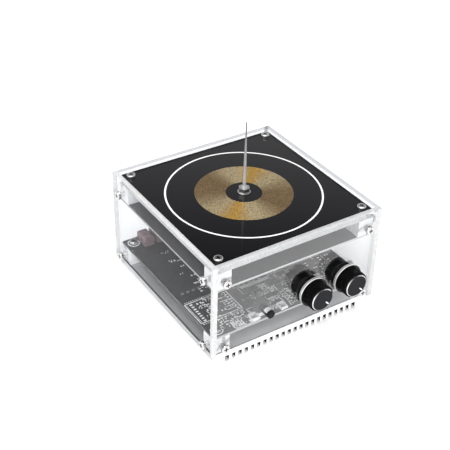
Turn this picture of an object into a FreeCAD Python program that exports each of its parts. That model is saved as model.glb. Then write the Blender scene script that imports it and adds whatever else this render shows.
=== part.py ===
import FreeCAD, Part
import math
import os

V = FreeCAD.Vector
os.makedirs("parts", exist_ok=True)

# The origin is the middle of the heat sink's underside, on the surface it stands on.
# X runs to the right, Y to the back and Z up; the knobs are on the front, at -Y.

# ---- case -------------------------------------------------------------------------
case_width = 130.0
case_depth = 130.0
panel_height = 71.0
panel_rise = 2.0              # top edge of the panels above the coil board
panel_t = 3.5
block_size = 12.0             # clear corner blocks
top_plate_t = 4.0             # clear plate that the coil board lies on
edge_gap = 0.2                # plates and boards to the case walls
plate_corner_cut = 6.0        # chamfer on the corners of the clear plate
board_corner_cut = 2.0        # and of the coil board

# ---- heat sink --------------------------------------------------------------------
sink_lip = 1.0                # reach of the heat sink under the panels
sink_base_t = 4.0
fin_height = 4.0
fin_t = 2.05
fin_pitch = 4.91
rail_width = 9.0              # solid rail along each side

# ---- screws, M3 pan head ----------------------------------------------------------
screw_d = 2.9                 # shank, over the thread
screw_head_d = 6.0
screw_head_h = 2.2
screw_head_round = 0.7
recess_width = 0.8
recess_span = 3.2
recess_depth = 1.2
clearance_d = 3.3             # plain hole for a screw
tapped_d = 3.0
tap_runout = 0.4              # hole depth past the tip of a screw
panel_screw_length = 6.0
coil_screw_length = 10.0
board_screw_length = 6.0
base_screw_length = 8.0
base_recess_depth = 3.5
base_recess_d = 6.4

# ---- boards -----------------------------------------------------------------------
coil_board_t = 1.6
board_t = 1.6
copper_t = 0.1
secondary_inner_r = 12.3
secondary_outer_r = 33.2
primary_inner_r = 36.0
primary_turns = 3
primary_track_width = 2.6
primary_track_gap = 1.0
primary_track_t = 0.4

# ---- needle electrode -------------------------------------------------------------
needle_height = 53.0          # tip above the coil board
needle_d = 2.4
needle_tip_d = 0.6
needle_straight = 8.0         # plain length above the stud before the taper
stud_d = 4.0
stud_thread_proud = 0.6
stud_hole_d = 4.3
nut_across_flats = 7.0
nut_h = 3.2
nut_bore_gap = 0.05
washer_d = 9.0
washer_t = 0.8
nut_pocket_d = 14.0           # opening in the top plate round the lower nut

# ---- pillars between the boards ---------------------------------------------------
post_d = 5.0
post_angle = 30.0             # where the flat coil starts and ends, from +X
secondary_post_d = 3.0
secondary_post_x = -16.0
secondary_post_y = 28.0
post_hole_d = 6.0

# ---- potentiometers and knobs -----------------------------------------------------
knob_from_side = 21.8         # right knob's axis to the right wall
knob_spacing = 28.0
knob_axis_above_board = 11.4
bushing_d = 7.0
bushing_length = 8.0
bushing_hole_gap = 0.1
pot_plate_w = 17.0
pot_plate_t = 1.0
pot_plate_round = 2.0
pot_case_inset = 0.25         # edge of the front plate outside the case
pot_case_length = 7.5
pot_case_wall = 0.6
pot_nut_flats = 10.0
pot_nut_t = 2.0
pot_washer_d = 12.0
pot_washer_t = 0.5
shaft_d = 6.0
shaft_gap = 0.05              # shaft to bushing, radial
shaft_end_gap = 0.1           # shaft end to the floor of the knob's bore
wiper_d = 13.0
wiper_t = 1.0
wiper_gap = 0.05
terminal_width = 1.2
terminal_t = 0.8
terminal_pitch = 5.0
terminal_count = 3
knob_d = 18.4
knob_face_d = 16.4
knob_length = 11.2
knob_panel_gap = 0.8
knob_ring_d = 21.4
knob_ring_t = 2.0
knob_boss_d = 16.0
knob_boss_gap = 0.05
knob_recess_d = 14.0
knob_recess_clear = 0.8       # bushing end to the floor of the knob's recess
knob_bore_depth = 5.5
knob_cap_t = 0.8
knob_cap_bevel = 0.5
knurl_count = 44
knurl_depth = 0.35
pointer_angle = 135.0         # clockwise from straight up, seen from the front
pointer_width = 0.8
pointer_length = 3.4
pointer_depth = 0.2
pointer_margin = 0.9

# ---- push button ------------------------------------------------------------------
switch_from_side = 40.4       # button's axis to the left wall
switch_width = 8.5
switch_height = 9.0
switch_length = 7.5
switch_setback = 3.0          # front of the housing behind the panel's inner face
switch_axis_above_board = 5.6
button_d = 5.6
button_hole_d = 6.2
button_proud = 1.5
button_travel = 1.5
travel_clear = 0.1            # left between cap and housing when pressed
stem_d = 3.6
stem_gap = 0.05
lip_t = 1.2
chamber_d = 5.6
collar_d = 5.0
collar_t = 1.0
collar_gap = 0.05
spring_wire_d = 0.4
spring_coil_d = 4.0
spring_turns = 3
spring_seat_gap = 0.05

# ---- sockets in the rear panel ----------------------------------------------------
inlet_width = 9.0
inlet_height = 11.0
inlet_length = 14.0
inlet_inset = 0.4             # mouth behind the panel's outer face
inlet_bore_d = 6.3
inlet_bore_depth = 10.0
inlet_pin_d = 2.0
inlet_pin_short = 1.0
inlet_hole_gap = 0.3
jack_width = 8.0
jack_height = 8.0
jack_length = 12.0
jack_nose_d = 6.0
jack_proud = 0.4              # mouth in front of the panel's outer face
jack_bore_d = 3.6
jack_bore_depth = 14.0
jack_hole_gap = 0.1

# ---- parts on the main board ------------------------------------------------------
transistor_x = 16.0
transistor_y = 30.0
transistor_width = 15.8
transistor_length = 20.0
transistor_t = 5.0
transistor_pad_t = 0.3
transistor_hole_d = 3.6
transistor_hole_inset = 5.5
lead_count = 3
lead_pitch = 5.4
lead_size = 1.0
lead_run = 3.0
lead_height = 2.4             # leads above the pad at the body
lead_above_board = 1.0
lead_hole_d = 1.8
film_from_side = 10.7         # nearest capacitor's outer face to the left wall
film_from_back = 2.5
film_width = 7.5
film_length = 12.5
film_height = 7.5
film_pitch = 9.5
film_count = 3
film_round = 2.0
electrolytic_d = 16.0
electrolytic_height = 25.0
electrolytic_from_side = 25.5  # nearest can's axis to the right wall
electrolytic_from_back = 13.0
electrolytic_pitch = 18.0
electrolytic_count = 2
electrolytic_groove = 0.5
electrolytic_groove_z = 3.0
toroid_from_side = 20.0       # toroid's axis to the right wall
toroid_y = -8.0
toroid_core_outer_d = 24.0
toroid_core_inner_d = 14.0
toroid_core_h = 9.0
winding_wire_d = 1.2
winding_turns = 22
winding_gap = 0.05
module_x = 4.0
module_y = 0.0
module_width = 22.0
module_length = 28.0
module_t = 1.0
module_raise = 2.5
module_can_width = 14.0
module_can_length = 14.0
module_can_h = 2.2
module_pin = 0.8
module_pin_pitch = 2.54
module_pin_count = 7
chip_body_width = 4.0
chip_body_length = 9.9
chip_body_h = 1.5
chip_leg = 0.45
chip_leg_reach = 1.0
chip_leg_pitch = 1.27
chip_leg_count = 7
chip_from_front = 28.0
chip_xs = (-14.0, 3.0, 20.0)
smd_length = 2.0
smd_width = 1.25
smd_h = 0.7
smd_rows = (
    # from the left wall, from the front wall, pitch in x
    (16.0, 6.5, 3.6),
    (36.0, 22.0, 4.4),
    (38.0, 36.0, 4.0),
    (66.0, 36.0, 4.0),
    (5.0, 48.0, 4.2),
)
smd_counts = (5, 4, 6, 6, 4)
smd_back_from_side = 16.0     # the row in front of the film capacitors
smd_back_from_back = 28.0
smd_back_pitch = 4.2
smd_back_count = 3

# ---- levels and places that follow ------------------------------------------------
cavity_x = case_width / 2 - panel_t
cavity_y = case_depth / 2 - panel_t
sink_x = cavity_x + sink_lip
sink_y = cavity_y + sink_lip
sink_top = fin_height + sink_base_t
case_top = sink_top + panel_height
coil_top = case_top - panel_rise
main_bottom = sink_top + block_size
main_top = main_bottom + board_t
plate_top = coil_top - coil_board_t
plate_bottom = plate_top - top_plate_t
primary_top = plate_bottom - block_size
primary_bottom = primary_top - board_t
corner_x = cavity_x - block_size / 2
corner_y = cavity_y - block_size / 2
base_screw_x = sink_x - rail_width / 2
plate_x = cavity_x - edge_gap
plate_y = cavity_y - edge_gap
panel_screw_levels = (sink_top + block_size / 2, plate_bottom - block_size / 2)
knob_z = main_top + knob_axis_above_board
right_knob_x = cavity_x - knob_from_side
left_knob_x = right_knob_x - knob_spacing
pot_case_d = pot_plate_w - 2 * pot_case_inset
switch_x = switch_from_side - cavity_x
switch_z = main_top + switch_axis_above_board
toroid_x = cavity_x - toroid_from_side
chip_y = chip_from_front - cavity_y
film_x = film_from_side - cavity_x
film_end_x = film_x + film_pitch * (film_count - 1) + film_width
electrolytic_x = cavity_x - electrolytic_from_side
can_end_x = electrolytic_x - electrolytic_pitch * (electrolytic_count - 1) - electrolytic_d / 2
inlet_nose_length = panel_t - inlet_inset
jack_nose_length = panel_t + jack_proud
socket_gap = (can_end_x - film_end_x - inlet_width - jack_width) / 3
inlet_x = film_end_x + socket_gap + inlet_width / 2
jack_x = can_end_x - socket_gap - jack_width / 2
front_face = -case_depth / 2
front_inner = -cavity_y
rear_face = case_depth / 2
SIDES = (-1, 1)
CORNERS = [(sx, sy) for sx in SIDES for sy in SIDES]
UP = V(0, 0, 1)
DOWN = V(0, 0, -1)
BACK = V(0, 1, 0)
FRONT = V(0, -1, 0)


def save(name, *solids):
    """Write one sub-part, as one solid or a group of separate solids."""
    shape = solids[0] if len(solids) == 1 else Part.makeCompound(list(solids))
    shape.exportStep("parts/" + name + ".step")


def block(x0, x1, y0, y1, z0, z1):
    return Part.makeBox(x1 - x0, y1 - y0, z1 - z0, V(x0, y0, z0))


def box_at(x, y, width, length, z0, z1):
    """Box centred on x and y, width along X and length along Y."""
    return block(x - width / 2, x + width / 2, y - length / 2, y + length / 2, z0, z1)


def slab(half_x, half_y, z0, z1):
    return block(-half_x, half_x, -half_y, half_y, z0, z1)


def rod(diameter, start, end):
    way = end - start
    return Part.makeCylinder(diameter / 2, way.Length, start, way)


def tube(outer_d, inner_d, start, end):
    return rod(outer_d, start, end).cut(rod(inner_d, start, end))


def prism(points, rise):
    wire = Part.makePolygon(points + points[:1])
    return Part.Face(wire).extrude(rise)


def hexagon(flats, start, rise):
    """Six-sided bar; start is the middle of one end, rise is along its axis."""
    turn = FreeCAD.Rotation(UP, rise)
    reach = flats / math.sqrt(3)
    points = []
    for k in range(6):
        angle = math.radians(60 * k)
        corner = V(reach * math.cos(angle), reach * math.sin(angle), 0)
        points.append(start + turn.multVec(corner))
    return prism(points, rise)


def cut_all(shape, tools):
    for tool in tools:
        shape = shape.cut(tool)
    return shape


def fuse_all(shapes):
    whole = shapes[0]
    for shape in shapes[1:]:
        whole = whole.fuse(shape)
    return whole.removeSplitter()


def row(middle, pitch, count):
    """Evenly spaced places, centred on middle."""
    first = middle - pitch * (count - 1) / 2
    return [first + pitch * k for k in range(count)]


def edges_at(shape, z):
    """Edges that lie wholly in the plane at height z."""
    near = 1e-6
    return [e for e in shape.Edges
            if abs(e.BoundBox.ZMin - z) < near and abs(e.BoundBox.ZMax - z) < near]


def edges_along_y(shape):
    return [e for e in shape.Edges if abs(e.tangentAt(e.FirstParameter).y) > 0.5]


def placed(shape, point, direction):
    """A copy whose own +Z points along direction and whose origin is at point."""
    moved = shape.copy()
    moved.Placement = FreeCAD.Placement(point, FreeCAD.Rotation(UP, direction))
    return moved


def pan_screw(length):
    """Cross-recess screw with its head above z = 0 and its shank below."""
    head = rod(screw_head_d, V(0, 0, 0), V(0, 0, screw_head_h))
    head = head.makeFillet(screw_head_round, edges_at(head, screw_head_h))
    floor = screw_head_h - recess_depth
    slot = slab(recess_span / 2, recess_width / 2, floor, screw_head_h)
    cross = slab(recess_width / 2, recess_span / 2, floor, screw_head_h)
    shank = rod(screw_d, V(0, 0, -length), V(0, 0, 0))
    return cut_all(head, [slot, cross]).fuse(shank).removeSplitter()


# ---- case -------------------------------------------------------------------------
def side_hole(sign, y, z):
    return rod(clearance_d, V(sign * cavity_x, y, z), V(sign * case_width / 2, y, z))


def face_hole(sign, x, z):
    return rod(clearance_d, V(x, sign * cavity_y, z), V(x, sign * case_depth / 2, z))


def side_panel(sign):
    x0, x1 = sorted((sign * cavity_x, sign * case_width / 2))
    sheet = block(x0, x1, -case_depth / 2, case_depth / 2, sink_top, case_top)
    holes = [side_hole(sign, s * corner_y, z) for s in SIDES for z in panel_screw_levels]
    return cut_all(sheet, holes)


def end_panel(sign, openings):
    y0, y1 = sorted((sign * cavity_y, sign * case_depth / 2))
    sheet = block(-cavity_x, cavity_x, y0, y1, sink_top, case_top)
    holes = [face_hole(sign, s * corner_x, z) for s in SIDES for z in panel_screw_levels]
    return cut_all(sheet, holes + openings)


def clipped_plate(c, z0, z1):
    """Square plate with its four corners cut off at 45 degrees, c along each side."""
    x, y = plate_x, plate_y
    points = [V(x - c, y, z0), V(x, y - c, z0), V(x, c - y, z0), V(x - c, -y, z0),
              V(c - x, -y, z0), V(-x, c - y, z0), V(-x, y - c, z0), V(c - x, y, z0)]
    return prism(points, V(0, 0, z1 - z0))


def corner_block(sx, sy, z0):
    """Clear block with two tapped holes for the panels; the caller adds the upright ones."""
    z1 = z0 + block_size
    x0, x1 = sorted((sx * cavity_x, sx * (cavity_x - block_size)))
    y0, y1 = sorted((sy * cavity_y, sy * (cavity_y - block_size)))
    cx, cy, cz = sx * corner_x, sy * corner_y, (z0 + z1) / 2
    depth = panel_screw_length - panel_t + tap_runout
    holes = [rod(tapped_d, V(sx * (cavity_x - depth), cy, cz), V(sx * cavity_x, cy, cz)),
             rod(tapped_d, V(cx, sy * (cavity_y - depth), cz), V(cx, sy * cavity_y, cz))]
    return cut_all(block(x0, x1, y0, y1, z0, z1), holes)


def top_block(sx, sy):
    x, y = sx * corner_x, sy * corner_y
    from_top = coil_screw_length - coil_board_t - top_plate_t + tap_runout
    from_below = board_screw_length - board_t + tap_runout
    holes = [rod(tapped_d, V(x, y, plate_bottom - from_top), V(x, y, plate_bottom)),
             rod(tapped_d, V(x, y, primary_top), V(x, y, primary_top + from_below))]
    return cut_all(corner_block(sx, sy, primary_top), holes)


def bottom_block(sx, sy):
    x, y = sx * corner_x, sy * corner_y
    bx = sx * base_screw_x
    from_top = board_screw_length - board_t + tap_runout
    from_below = base_screw_length - (sink_top - base_recess_depth) + tap_runout
    holes = [rod(tapped_d, V(x, y, main_bottom - from_top), V(x, y, main_bottom)),
             rod(tapped_d, V(bx, y, sink_top), V(bx, y, sink_top + from_below))]
    return cut_all(corner_block(sx, sy, sink_top), holes)


def heat_sink():
    base = slab(sink_x, sink_y, fin_height, sink_top)
    rails = []
    for side in SIDES:
        x0, x1 = sorted((side * sink_x, side * (sink_x - rail_width)))
        rails.append(block(x0, x1, -sink_y, sink_y, 0, fin_height))
    reach = int((sink_x - rail_width) / fin_pitch)
    fins = []
    for k in range(-reach, reach + 1):
        x = k * fin_pitch
        fins.append(block(x - fin_t / 2, x + fin_t / 2, -sink_y, sink_y, 0, fin_height))
    body = fuse_all([base] + rails + fins)
    holes = []
    for sx, sy in CORNERS:
        x, y = sx * base_screw_x, sy * corner_y
        holes.append(rod(clearance_d, V(x, y, 0), V(x, y, sink_top)))
        holes.append(rod(base_recess_d, V(x, y, 0), V(x, y, base_recess_depth)))
    for sx in SIDES:
        x, y = sx * transistor_x, transistor_hole_y()
        holes.append(rod(tapped_d, V(x, y, fin_height), V(x, y, sink_top)))
    return cut_all(body, holes)


# ---- boards -----------------------------------------------------------------------
def corner_places(z):
    return [V(sx * corner_x, sy * corner_y, z) for sx, sy in CORNERS]


def corner_holes(z0, z1):
    return [rod(clearance_d, foot, foot + V(0, 0, z1 - z0)) for foot in corner_places(z0)]


def corner_board(z0, z1):
    """Square board with the four corner holes."""
    return cut_all(slab(plate_x, plate_y, z0, z1), corner_holes(z0, z1))


def annulus(outer_r, inner_r, z0, z1):
    return tube(2 * outer_r, 2 * inner_r, V(0, 0, z0), V(0, 0, z1))


def half_band(centre_x, radius, upper):
    """Half a turn of flat track on the primary board, on the +Y side if upper."""
    outer = radius + primary_track_width / 2
    inner = radius - primary_track_width / 2
    foot = V(centre_x, 0, primary_top)
    top = foot + V(0, 0, primary_track_t)
    y0, y1 = (0, outer) if upper else (-outer, 0)
    half = block(centre_x - outer, centre_x + outer, y0, y1, foot.z, top.z)
    return tube(2 * outer, 2 * inner, foot, top).common(half)


def track_step():
    return primary_track_width + primary_track_gap


def primary_winding():
    """Flat spiral of half circles about two centres, each half a step wider than the last."""
    start = primary_inner_r + primary_track_width / 2
    bands = []
    for k in range(primary_turns):
        radius = start + k * track_step()
        bands.append(half_band(0, radius, True))
        bands.append(half_band(track_step() / 2, radius + track_step() / 2, False))
    spiral = fuse_all(bands)
    spiral.rotate(V(0, 0, 0), UP, post_angle)
    return spiral


def post_places():
    """Feet of the two primary pillars, beside the two ends of the flat coil."""
    angle = math.radians(post_angle)
    inner = primary_inner_r - post_d
    outer = primary_inner_r + primary_turns * track_step() + post_d
    return [V(r * math.cos(angle), r * math.sin(angle), 0) for r in (inner, outer)]


# ---- needle -----------------------------------------------------------------------
def needle():
    foot = plate_top - nut_h - stud_thread_proud
    top_of_stud = coil_top + washer_t + nut_h + stud_thread_proud
    tip = coil_top + needle_height
    stud = rod(stud_d, V(0, 0, foot), V(0, 0, top_of_stud))
    plain = rod(needle_d, V(0, 0, top_of_stud), V(0, 0, top_of_stud + needle_straight))
    taper_start = top_of_stud + needle_straight
    tip_r = needle_tip_d / 2
    taper = tip - tip_r - taper_start
    cone = Part.makeCone(needle_d / 2, tip_r, taper, V(0, 0, taper_start))
    ball = Part.makeSphere(tip_r, V(0, 0, tip - tip_r))
    return fuse_all([stud, plain, cone, ball])


def stud_nut(z):
    nut = hexagon(nut_across_flats, V(0, 0, z), V(0, 0, nut_h))
    return nut.cut(rod(stud_d + 2 * nut_bore_gap, V(0, 0, z), V(0, 0, z + nut_h)))


# ---- potentiometers and knobs -----------------------------------------------------
def on_axis(x, y):
    return V(x, y, knob_z)


def shaft_bore(x, start, end):
    return rod(shaft_d + 2 * shaft_gap, on_axis(x, start), on_axis(x, end))


def pot_bushing(x):
    plate = block(x - pot_plate_w / 2, x + pot_plate_w / 2, front_inner, front_inner + pot_plate_t,
                  knob_z - pot_plate_w / 2, knob_z + pot_plate_w / 2)
    plate = plate.makeFillet(pot_plate_round, edges_along_y(plate))
    end = front_inner - bushing_length
    neck = rod(bushing_d, on_axis(x, front_inner), on_axis(x, end))
    bore = shaft_bore(x, front_inner + pot_plate_t, end)
    return plate.fuse(neck).cut(bore).removeSplitter()


def pot_case(x):
    start = front_inner + pot_plate_t
    end = start + pot_case_length
    outer = rod(pot_case_d, on_axis(x, start), on_axis(x, end))
    inner = rod(pot_case_d - 2 * pot_case_wall, on_axis(x, start), on_axis(x, end - pot_case_wall))
    return outer.cut(inner)


def pot_terminals(x):
    """Legs from the round case down to the board."""
    case = rod(pot_case_d, on_axis(x, front_inner), on_axis(x, front_inner + 2 * pot_case_length))
    y = front_inner + pot_plate_t + pot_case_length / 2
    legs = []
    half = terminal_width / 2
    for lx in row(x, terminal_pitch, terminal_count):
        leg = block(lx - half, lx + half, y, y + terminal_t, main_top, knob_z)
        legs.append(leg.cut(case).Solids[0])
    return legs


def pot_nut(x):
    start = front_face - pot_washer_t
    nut = hexagon(pot_nut_flats, on_axis(x, start), V(0, -pot_nut_t, 0))
    bore = rod(bushing_d + 2 * nut_bore_gap, on_axis(x, start), on_axis(x, start - pot_nut_t))
    return nut.cut(bore)


def pot_washer(x):
    return tube(pot_washer_d, bushing_d + 2 * nut_bore_gap, on_axis(x, front_face),
                on_axis(x, front_face - pot_washer_t))


def knob_levels():
    """Y of the ring's back, the ring's front, the cap's back and the cap's front."""
    back = front_face - knob_panel_gap
    front = back - knob_length
    return back, back - knob_ring_t, front + knob_cap_t, front


def recess_floor():
    return front_inner - bushing_length - knob_recess_clear


def pot_shaft(x):
    wiper_back = front_inner + pot_plate_t + wiper_gap + wiper_t
    end = recess_floor() - knob_bore_depth + shaft_end_gap
    spindle = rod(shaft_d, on_axis(x, wiper_back), on_axis(x, end))
    disc = rod(wiper_d, on_axis(x, wiper_back - wiper_t), on_axis(x, wiper_back))
    return spindle.fuse(disc).removeSplitter()


def knurled_bar(x, back_d, front_d, back, front):
    """Bar with straight grooves round it, a little slimmer at the front."""
    wires = []
    for diameter, y in ((back_d, back), (front_d, front)):
        points = []
        for k in range(2 * knurl_count):
            angle = math.pi * k / knurl_count
            r = diameter / 2 - (knurl_depth if k % 2 else 0)
            points.append(on_axis(x + r * math.sin(angle), y) + V(0, 0, r * math.cos(angle)))
        wires.append(Part.makePolygon(points + points[:1]))
    return Part.makeLoft(wires, True, True)


def knob_body(x):
    back, ring_front, cap_back, _ = knob_levels()
    bar = knurled_bar(x, knob_d, knob_face_d, ring_front, cap_back)
    boss = rod(knob_boss_d - 2 * knob_boss_gap, on_axis(x, ring_front), on_axis(x, back))
    recess = rod(knob_recess_d, on_axis(x, back), on_axis(x, recess_floor()))
    bore = shaft_bore(x, recess_floor(), recess_floor() - knob_bore_depth)
    return bar.fuse(boss).cut(recess).cut(bore).removeSplitter()


def knob_ring(x):
    back, ring_front, _, _ = knob_levels()
    return tube(knob_ring_d, knob_boss_d, on_axis(x, back), on_axis(x, ring_front))


def knob_cap(x):
    """Face disc with a bevelled rim and a shallow pointer groove near the rim."""
    _, _, cap_back, front = knob_levels()
    disc = Part.makeCylinder(knob_face_d / 2, knob_cap_t, V(0, 0, 0), UP)
    disc = disc.makeChamfer(knob_cap_bevel, edges_at(disc, knob_cap_t))
    disc = placed(disc, on_axis(x, cap_back), FRONT)
    outer = knob_face_d / 2 - knob_cap_bevel - pointer_margin + pointer_width / 2
    groove = block(-pointer_width / 2, pointer_width / 2, front, front + pointer_depth,
                   outer - pointer_length, outer)
    groove.rotate(V(0, 0, 0), BACK, pointer_angle)
    groove.translate(V(x, 0, knob_z))
    return disc.cut(groove)


# ---- push button ------------------------------------------------------------------
def button_levels():
    """Y of the cap's front and back and of the housing's front and back."""
    housing_front = front_inner + switch_setback
    cap_front = front_face - button_proud
    cap_back = housing_front - button_travel - travel_clear
    return cap_front, cap_back, housing_front, housing_front + switch_length


def on_switch(y):
    return V(switch_x, y, switch_z)


def collar_back():
    return button_levels()[2] + lip_t + collar_gap + collar_t


def chamber_back():
    return button_levels()[3] - lip_t


def switch_housing():
    _, _, front, back = button_levels()
    body = block(switch_x - switch_width / 2, switch_x + switch_width / 2, front, back,
                 main_top, main_top + switch_height)
    chamber = rod(chamber_d, on_switch(front + lip_t), on_switch(chamber_back()))
    bore = rod(stem_d + 2 * stem_gap, on_switch(front), on_switch(front + lip_t))
    return cut_all(body, [chamber, bore])


def switch_button():
    cap_front, cap_back, _, _ = button_levels()
    cap = rod(button_d, on_switch(cap_back), on_switch(cap_front))
    stem = rod(stem_d, on_switch(cap_back), on_switch(collar_back()))
    collar = rod(collar_d, on_switch(collar_back() - collar_t), on_switch(collar_back()))
    return fuse_all([cap, stem, collar])


def switch_spring():
    """Helical spring between the collar and the back of the chamber."""
    start = collar_back() + spring_seat_gap + spring_wire_d / 2
    end = chamber_back() - spring_seat_gap - spring_wire_d / 2
    radius = (spring_coil_d - spring_wire_d) / 2
    pitch = (end - start) / spring_turns
    helix = Part.makeLongHelix(pitch, end - start, radius)
    along = V(0, 2 * math.pi * radius, pitch)
    section = Part.Wire(Part.makeCircle(spring_wire_d / 2, V(radius, 0, 0), along))
    coil = Part.Wire(helix.Edges).makePipeShell([section], True, True)
    return placed(coil, on_switch(start), BACK)


# ---- sockets ----------------------------------------------------------------------
def inlet_parts():
    """Rear power socket: moulded body with a nose through the panel, and its centre pin."""
    z0, z1 = main_top, main_top + inlet_height
    x0, x1 = inlet_x - inlet_width / 2, inlet_x + inlet_width / 2
    body = block(x0, x1, cavity_y - inlet_length, cavity_y + inlet_nose_length, z0, z1)
    mouth = V(inlet_x, cavity_y + inlet_nose_length, (z0 + z1) / 2)
    floor = mouth - V(0, inlet_bore_depth, 0)
    bore = rod(inlet_bore_d, floor, mouth)
    pin = rod(inlet_pin_d, floor, mouth - V(0, inlet_pin_short, 0))
    return body.cut(bore), pin


def inlet_opening():
    g = inlet_hole_gap
    return block(inlet_x - inlet_width / 2 - g, inlet_x + inlet_width / 2 + g, cavity_y, rear_face,
                 main_top - g, main_top + inlet_height + g)


def on_jack(y):
    return V(jack_x, y, main_top + jack_height / 2)


def audio_jack():
    body = block(jack_x - jack_width / 2, jack_x + jack_width / 2, cavity_y - jack_length, cavity_y,
                 main_top, main_top + jack_height)
    mouth = cavity_y + jack_nose_length
    nose = rod(jack_nose_d, on_jack(cavity_y), on_jack(mouth))
    bore = rod(jack_bore_d, on_jack(mouth - jack_bore_depth), on_jack(mouth))
    return body.fuse(nose).cut(bore).removeSplitter()


def jack_opening():
    return rod(jack_nose_d + 2 * jack_hole_gap, on_jack(cavity_y), on_jack(rear_face))


# ---- electronics ------------------------------------------------------------------
def transistor_hole_y():
    return transistor_y + transistor_length / 2 - transistor_hole_inset


def transistor_floor():
    return sink_top + transistor_pad_t


def lead_foot_y():
    return transistor_y - transistor_length / 2 - lead_run


def lead_places(x):
    return row(x, lead_pitch, lead_count)


def drilled_plate(x, z0, z1):
    """Layer with the outline and the screw hole of a power package."""
    plate = box_at(x, transistor_y, transistor_width, transistor_length, z0, z1)
    y = transistor_hole_y()
    return plate.cut(rod(transistor_hole_d, V(x, y, z0), V(x, y, z1)))


def transistor(x):
    """Flat power package with leads that turn up through the main board."""
    floor = transistor_floor()
    pieces = [drilled_plate(x, floor, floor + transistor_t)]
    half = lead_size / 2
    low = floor + lead_height - half
    foot = lead_foot_y()
    for lx in lead_places(x):
        pieces.append(block(lx - half, lx + half, foot - half, foot + lead_run, low, low + lead_size))
        pieces.append(block(lx - half, lx + half, foot - half, foot + half,
                            low, main_top + lead_above_board))
    return fuse_all(pieces)


def transistor_pad(x):
    return drilled_plate(x, sink_top, transistor_floor())


def film_capacitor(k):
    x0 = film_x + k * film_pitch
    y1 = cavity_y - film_from_back
    body = block(x0, x0 + film_width, y1 - film_length, y1, main_top, main_top + film_height)
    return body.makeFillet(film_round, edges_at(body, main_top + film_height))


def electrolytic_capacitor(k):
    """Round can with a rolled groove near its foot and a rounded rim."""
    x = electrolytic_x - k * electrolytic_pitch
    foot = V(x, cavity_y - electrolytic_from_back, main_top)
    can = rod(electrolytic_d, foot, foot + V(0, 0, electrolytic_height))
    can = can.makeFillet(electrolytic_groove, edges_at(can, main_top + electrolytic_height))
    low = foot + V(0, 0, electrolytic_groove_z)
    groove = tube(electrolytic_d, electrolytic_d - 2 * electrolytic_groove, low,
                  low + V(0, 0, 2 * electrolytic_groove))
    return can.cut(groove)


def toroid_core():
    z0 = main_top + winding_wire_d + winding_gap
    centre = V(toroid_x, toroid_y, z0)
    return tube(toroid_core_outer_d, toroid_core_inner_d, centre, centre + V(0, 0, toroid_core_h))


def toroid_winding():
    """Separate square turns of wire side by side round the core, joined under it by a thin strip."""
    z0 = main_top
    z1 = z0 + toroid_core_h + 2 * (winding_wire_d + winding_gap)
    outer_r = toroid_core_outer_d / 2 + winding_gap + winding_wire_d
    inner_r = toroid_core_inner_d / 2 - winding_gap - winding_wire_d
    half = winding_wire_d / 2
    turn = block(inner_r, outer_r, -half, half, z0, z1)
    window = block(inner_r + winding_wire_d, outer_r - winding_wire_d, -half, half,
                   z0 + winding_wire_d, z1 - winding_wire_d)
    turn = turn.cut(window)
    turns = []
    for k in range(winding_turns):
        copy = turn.copy()
        copy.rotate(V(0, 0, 0), UP, 360.0 * k / winding_turns)
        copy.translate(V(toroid_x, toroid_y, 0))
        turns.append(copy)
    return turns


def audio_module():
    """Small board on two rows of pins, with a shield can on top."""
    z0 = main_top + module_raise
    z1 = z0 + module_t
    board = box_at(module_x, module_y, module_width, module_length, z0, z1)
    can = box_at(module_x, module_y, module_can_width, module_can_length, z1, z1 + module_can_h)
    pins = []
    half = module_pin / 2
    for side in SIDES:
        px = module_x + side * (module_width / 2 - module_pin_pitch / 2)
        for py in row(module_y, module_pin_pitch, module_pin_count):
            pins.append(block(px - half, px + half, py - half, py + half, main_top, z0))
    return board, can, pins


def driver_chip(x):
    body = box_at(x, chip_y, chip_body_length, chip_body_width, main_top, main_top + chip_body_h)
    pieces = [body]
    half = chip_leg / 2
    for side in SIDES:
        root = chip_y + side * chip_body_width / 2
        y0, y1 = sorted((root, root + side * chip_leg_reach))
        for lx in row(x, chip_leg_pitch, chip_leg_count):
            pieces.append(block(lx - half, lx + half, y0, y1, main_top, main_top + chip_leg))
    return fuse_all(pieces)


def small_row(x, y, pitch, count):
    """Row of chip parts; x and y are the low corner of the first."""
    return [block(x + k * pitch, x + k * pitch + smd_length, y, y + smd_width, main_top, main_top + smd_h)
            for k in range(count)]


def small_parts():
    parts = []
    for (from_side, from_front, pitch), count in zip(smd_rows, smd_counts):
        parts += small_row(from_side - cavity_x, from_front - cavity_y, pitch, count)
    back_y = cavity_y - smd_back_from_back
    return parts + small_row(smd_back_from_side - cavity_x, back_y, smd_back_pitch, smd_back_count)


# ---- write the sub-parts ----------------------------------------------------------
knob_xs = (left_knob_x, right_knob_x)
bushing_hole = bushing_d + 2 * bushing_hole_gap
front_openings = [rod(bushing_hole, on_axis(x, front_face), on_axis(x, front_inner)) for x in knob_xs]
front_openings.append(rod(button_hole_d, on_switch(front_face), on_switch(front_inner)))

save("front_panel", end_panel(-1, front_openings))
save("rear_panel", end_panel(1, [inlet_opening(), jack_opening()]))
save("left_panel", side_panel(-1))
save("right_panel", side_panel(1))
save("top_corner_blocks", *[top_block(sx, sy) for sx, sy in CORNERS])
save("bottom_corner_blocks", *[bottom_block(sx, sy) for sx, sy in CORNERS])
save("heat_sink", heat_sink())

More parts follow.
